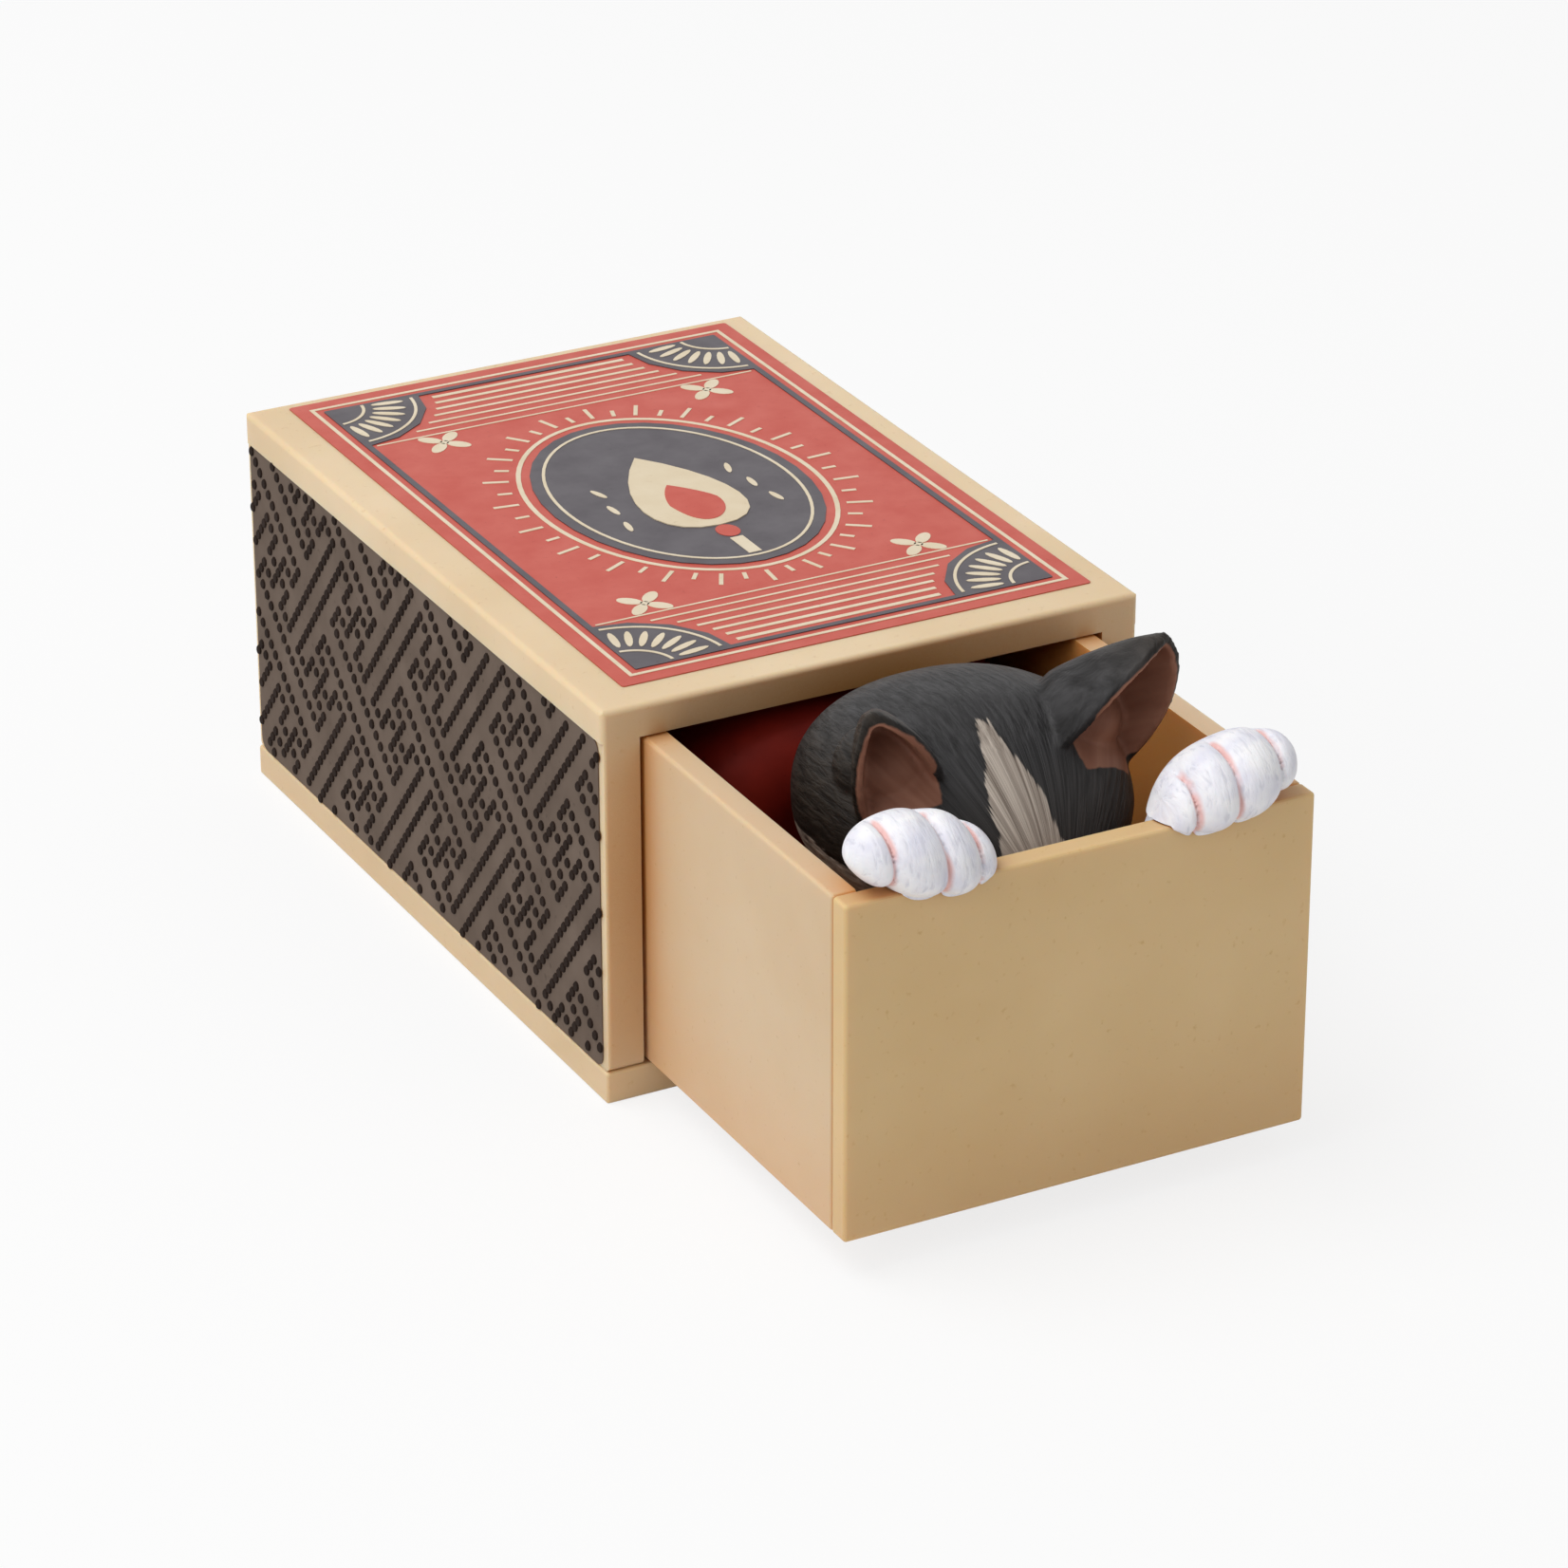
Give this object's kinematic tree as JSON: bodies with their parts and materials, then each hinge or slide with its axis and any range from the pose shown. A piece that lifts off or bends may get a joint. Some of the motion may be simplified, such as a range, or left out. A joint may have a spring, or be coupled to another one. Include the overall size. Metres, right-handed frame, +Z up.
{
  "type": "toy matchbox with cat figure",
  "caption": "Moulded toy matchbox: sleeve with printed label and striker panels, and a sliding drawer with a cat looking over its front.",
  "frame": {"origin": "middle of the base plate's underside, on the surface the box stands on", "axes": "+Z up, -Y the way the drawer opens, +X to the right when facing the drawer's front"},
  "size_m": [0.035, 0.0754, 0.0305],
  "materials": {
    "cream_plastic": "satin, slightly translucent moulding",
    "label_red": "screen print, satin",
    "label_dark": "screen print, satin",
    "label_cream": "screen print, satin",
    "striker_paint": "matt paint with raised dark dots",
    "black_fur": "matt paint on sculpted fur",
    "red_paint": "satin paint",
    "white_fur": "matt paint with pink creases"
  },
  "bodies": {
    "sleeve": {"sleeve_cover": "cream_plastic", "base_plate": "cream_plastic", "striker_left": "striker_paint", "striker_right": "striker_paint", "label_red_print": "label_red", "label_dark_frame": "label_dark", "label_medallion": "label_dark", "label_flame": "label_cream"},
    "drawer": {"drawer_tray": "cream_plastic", "drawer_front": "cream_plastic", "cat_head": "black_fur", "cat_back": "red_paint", "left_paw": "white_fur", "right_paw": "white_fur"}
  },
  "joints": [
    {"name": "drawer_slide", "type": "slide", "parent": "sleeve", "child": "drawer", "axis": [0, -1, 0], "range_m": [-0.0015, 0.027]}
  ]
}
